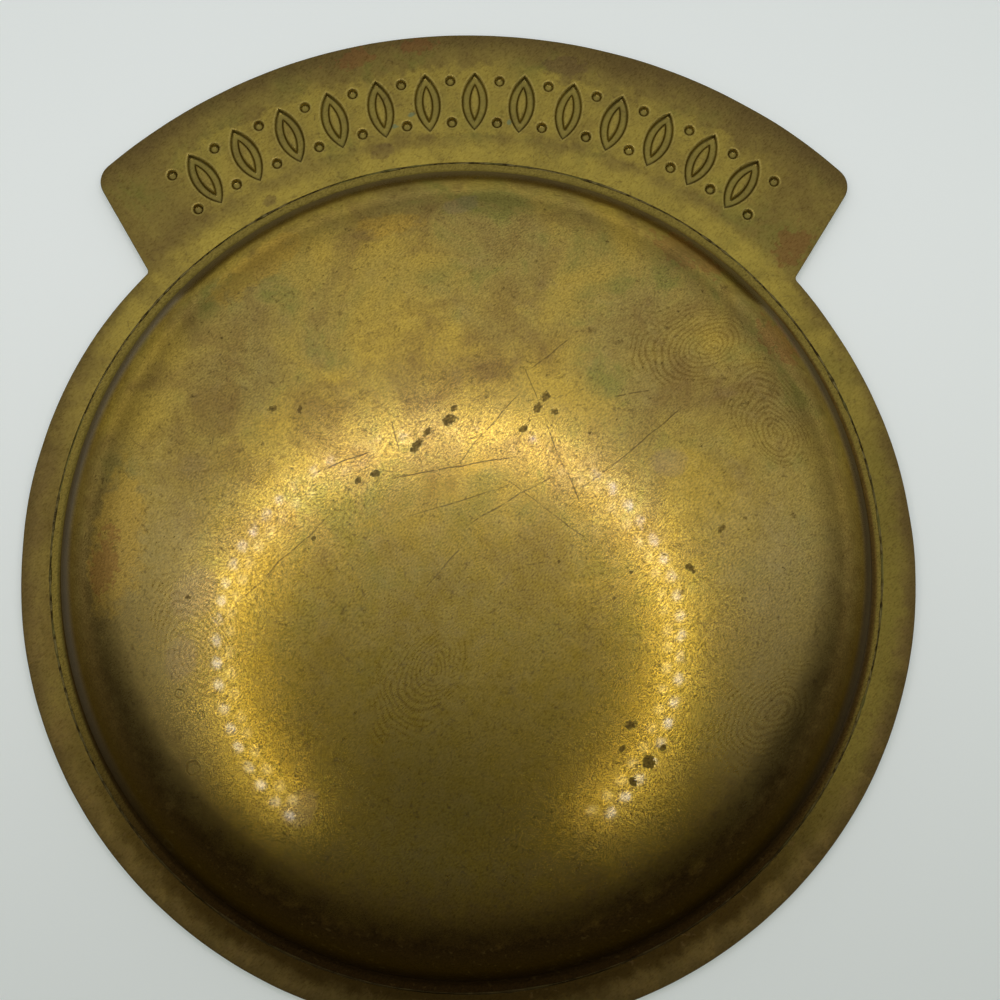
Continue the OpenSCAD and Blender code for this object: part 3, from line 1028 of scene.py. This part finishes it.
def lay_table():
    """A plain pale table, painted a little greyer towards -Y: painted shade on the dim side."""
    deselect()
    bpy.ops.mesh.primitive_plane_add(size=3.0, location=(0, 0, -0.02 * MM))
    table = named("table")
    material, tree, shader = new_material("pale table")
    y = put(tree, "SeparateXYZ", {0: put(tree, "TexCoord").outputs["Object"]}).outputs[1]
    # Painted shade: the table is greyer towards -Y, and so is its glow
    share = step(tree, y, -0.09, 0.05)
    colour = blend(tree, share, rgb(0.73, 0.747, 0.725), rgb(0.88, 0.897, 0.878))
    tree.links.new(colour, shader.inputs["Base Color"])
    shader.inputs["Roughness"].default_value = 0.55
    rays = put(tree, "LightPath").outputs
    seen = calc(tree, "MAXIMUM", rays["Is Camera Ray"], rays["Is Glossy Ray"])
    seen = calc(tree, "MAXIMUM", seen, rays["Is Transmission Ray"])
    glow = blend(tree, share, rgb(0.090, 0.122, 0.110), rgb(0.165, 0.202, 0.186))
    tree.links.new(glow, shader.inputs["Emission Color"])
    tree.links.new(seen, shader.inputs["Emission Strength"])
    table.data.materials.append(material)


# The ring of lamps round the camera: two rows of small lamps, flattened towards +Y and open
# towards -Y
LAMP_Z = 151.4 * MM
LAMP_ROWS = (
    (Vector((-9.7, -30.05)) * MM, 80.9 * MM, (0.97, 1.0, 1.05), 0.0),
    (Vector((-9.5, -29.85)) * MM, 75.0 * MM, (1.0, 0.80, 0.38), 0.5),
)
LAMP_N = 50
LAMP_REACH = math.radians(136.2)
LAMP_POWER = 0.0023
LAMP_FLAT = 9.5 * MM
LAMP_WHITER = 0.8


def lamp_ring():
    for row, (centre, r, colour, shift) in enumerate(LAMP_ROWS):
        for i in range(LAMP_N):
            angle = LAMP_REACH * (2 * (i + shift) / (LAMP_N - 0.5) - 1)
            light = bpy.data.lights.new(f"lamp_{row}_{i}", "POINT")
            light.energy = LAMP_POWER
            high = max(math.cos(angle), 0)
            light.color = (colour[0], colour[1], colour[2] * (1 + LAMP_WHITER * high**2))
            light.shadow_soft_size = 2.0 * MM
            spot = centre + polar(r, angle)
            spot.y -= LAMP_FLAT * high**1.5
            lamp = bpy.data.objects.new(light.name, light)
            lamp.location = (spot.x, spot.y, LAMP_Z)
            lamp.visible_camera = False
            bpy.context.scene.collection.objects.link(lamp)


def light_room():
    """Soft light of a pale room: brightest overhead, dim towards -Y, where somebody stands."""
    world = bpy.data.worlds.new("room")
    bpy.context.scene.world = world
    world.use_nodes = True
    tree = world.node_tree
    tree.nodes.clear()
    parts = put(tree, "SeparateXYZ", {0: put(tree, "TexCoord").outputs["Generated"]}).outputs
    up = put(tree, "ValToRGB", {0: parts[2]})
    ramp = up.color_ramp
    stops = ((0.0, 0.80), (0.14, 0.80), (0.26, 0.40), (0.60, 0.56), (0.9, 0.82), (1.0, 0.88))
    while len(ramp.elements) < len(stops):
        ramp.elements.new(0.5)
    for element, (spot, level) in zip(ramp.elements, stops):
        element.position = spot
        element.color = rgb(level, level, level)
    near = step(tree, parts[1], -0.30, 0.20, 0.25, 1.0)
    high = step(tree, parts[2], 0.14, 0.3)
    strength = put(tree, "MapRange", {"Value": high, "To Min": 1.0, "To Max": near}).outputs["Result"]
    light = put(tree, "Background", {"Color": up.outputs["Color"], "Strength": strength})
    put(tree, "OutputWorld", {"Surface": light.outputs[0]})


def set_camera():
    data = bpy.data.cameras.new("camera")
    data.lens = 43.2
    data.sensor_width = 36
    data.clip_start = 0.01
    camera = bpy.data.objects.new("camera", data)
    camera.location = (0.0021, -0.01983, 0.15141)
    camera.rotation_euler = Euler((math.radians(7.778), math.radians(-0.648), math.radians(0.352)))
    bpy.context.scene.collection.objects.link(camera)
    bpy.context.scene.camera = camera


bpy.context.scene.view_settings.view_transform = "Standard"
set_camera()
lamp_ring()
light_room()
lay_table()

node_groups = {
    "place": place_group(),
    "tarnish": tarnish_group(),
    "grain": grain_group(),
    "hairlines": hairline_group(),
    "stain": stain_group(),
    "scratch": scratch_group(),
    "finger": finger_group(),
}
make_collar(collar_brass(node_groups))
make_bowl(bowl_brass(node_groups))
make_solder(old_solder(node_groups))
